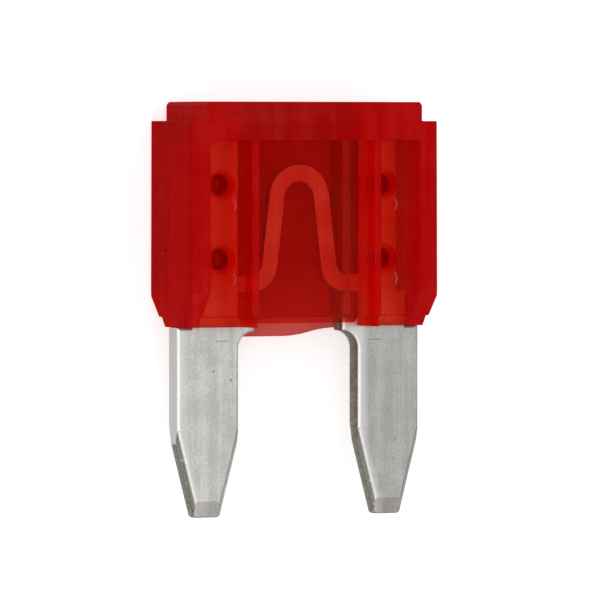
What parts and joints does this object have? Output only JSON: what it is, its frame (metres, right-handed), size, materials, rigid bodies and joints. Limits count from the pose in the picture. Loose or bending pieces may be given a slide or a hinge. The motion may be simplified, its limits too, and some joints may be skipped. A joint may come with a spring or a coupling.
{
  "type": "automotive blade fuse",
  "caption": "Small plug-in blade fuse: clear red moulded housing over a stamped metal element whose flat tapered blades are joined by a thin fusible link.",
  "frame": {"origin": "on the surface that the fuse lies on, under the middle of its width and length", "axes": "+X across the width from one blade to the other, +Y from the blade tips to the cap, +Z out of the front face, through the thickness"},
  "size_m": [0.011, 0.0164, 0.0039],
  "materials": {
    "clear_red_plastic": "clear red, moulded, glossy",
    "plated_metal": "plated, satin, lightly brushed along the blades"
  },
  "bodies": {
    "root": {"housing": "clear_red_plastic", "fuse_element": "plated_metal"}
  },
  "joints": []
}
